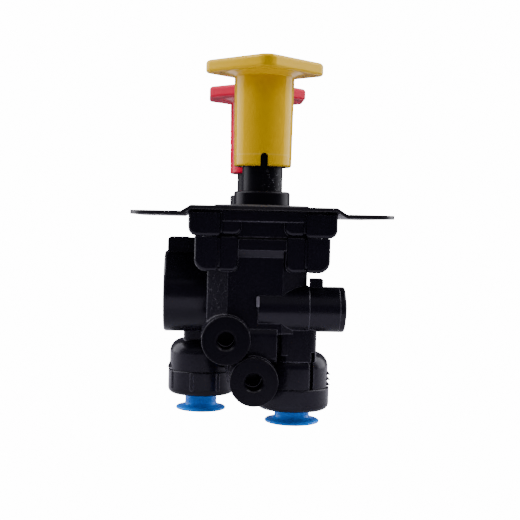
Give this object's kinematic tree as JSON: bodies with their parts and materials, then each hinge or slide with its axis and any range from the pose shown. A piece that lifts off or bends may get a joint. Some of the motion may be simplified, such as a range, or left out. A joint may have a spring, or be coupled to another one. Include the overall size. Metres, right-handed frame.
{
  "type": "dash control valve",
  "caption": "Push-pull dash control valve: square and octagonal knobs on sprung plungers above a slotted mounting plate, with push-in tube ports below.",
  "frame": {"origin": "centre of the four slotted holes, at the panel face of the mounting plate's wings", "axes": "+Z along the knobs, out of the panel; +X across the plate from the large cylinder's side to the small cylinder's; the yellow knob is at -Y and the red knob at +Y"},
  "size_m": [0.1, 0.1078, 0.144],
  "materials": {
    "black_housing": "semi-gloss moulded black",
    "black_plate": "black coated steel",
    "yellow_plastic": "glossy yellow",
    "red_plastic": "glossy red",
    "black_stem": "matt black",
    "black_guide": "satin black",
    "blue_plastic": "bright blue",
    "rubber_seal": "matt rubber",
    "zinc_steel": "zinc plated",
    "spring_steel": "bright spring steel",
    "spool_brass": "turned brass"
  },
  "bodies": {
    "root": {"valve_body": "black_housing", "upper_cover": "black_housing", "mounting_plate": "black_plate", "park_guide": "black_guide", "supply_guide": "black_guide", "left_port_cap": "black_housing", "right_port_cap": "black_housing", "tripper_cap": "black_housing", "check_cap": "black_housing", "cover_gasket": "rubber_seal", "plate_screws": "zinc_steel", "park_stem_seal": "rubber_seal", "supply_stem_seal": "rubber_seal", "park_spring": "spring_steel", "supply_spring": "spring_steel", "check_cap_seal": "rubber_seal", "check_clip": "spring_steel", "tripper_spring": "spring_steel", "left_port_grab_ring": "spring_steel", "right_port_grab_ring": "spring_steel", "upper_port_grab_ring": "spring_steel", "lower_port_grab_ring": "spring_steel", "left_port_seal": "rubber_seal", "right_port_seal": "rubber_seal", "upper_port_seal": "rubber_seal", "lower_port_seal": "rubber_seal", "upper_port_sleeve": "spool_brass", "lower_port_sleeve": "spool_brass", "exhaust_diaphragm": "rubber_seal", "exhaust_cover": "black_guide"},
    "park": {"yellow_knob": "yellow_plastic", "yellow_knob_pin": "spring_steel", "park_plunger": "black_stem", "park_spool": "spool_brass", "park_spool_seals": "rubber_seal"},
    "supply": {"red_knob": "red_plastic", "red_knob_pin": "spring_steel", "supply_plunger": "black_stem", "supply_spool": "spool_brass", "supply_spool_seals": "rubber_seal"},
    "check": {"check_shuttle": "rubber_seal"},
    "tripper": {"tripper_piston": "spool_brass", "tripper_piston_seal": "rubber_seal"},
    "left_collet": {"left_port_collet": "blue_plastic"},
    "right_collet": {"right_port_collet": "blue_plastic"},
    "upper_collet": {"upper_port_collet": "black_guide"},
    "lower_collet": {"lower_port_collet": "black_guide"}
  },
  "joints": [
    {"name": "park_push", "type": "slide", "parent": "root", "child": "park", "axis": [0, 0, 1], "range_m": [-0.009, 0], "stiffness_N_per_m": 600, "springref_m": 0.01, "deforming": ["park_spring"]},
    {"name": "supply_push", "type": "slide", "parent": "root", "child": "supply", "axis": [0, 0, 1], "range_m": [-0.009, 0], "stiffness_N_per_m": 600, "springref_m": 0.01, "deforming": ["supply_spring"]},
    {"name": "check_slide", "type": "slide", "parent": "root", "child": "check", "axis": [1, 0, 0], "range_m": [0, 0.0043]},
    {"name": "tripper_slide", "type": "slide", "parent": "root", "child": "tripper", "axis": [1, 0, 0], "range_m": [0, 0.004], "stiffness_N_per_m": 400, "springref_m": -0.004, "deforming": ["tripper_spring"]},
    {"name": "left_collet_slide", "type": "slide", "parent": "root", "child": "left_collet", "axis": [0, 0, 1], "range_m": [0, 0.0034]},
    {"name": "right_collet_slide", "type": "slide", "parent": "root", "child": "right_collet", "axis": [0, 0, 1], "range_m": [-0.0014, 0.001]},
    {"name": "upper_collet_slide", "type": "slide", "parent": "root", "child": "upper_collet", "axis": [0, 1, 0], "range_m": [0, 0.0008]},
    {"name": "lower_collet_slide", "type": "slide", "parent": "root", "child": "lower_collet", "axis": [0, 1, 0], "range_m": [0, 0.0008]}
  ]
}
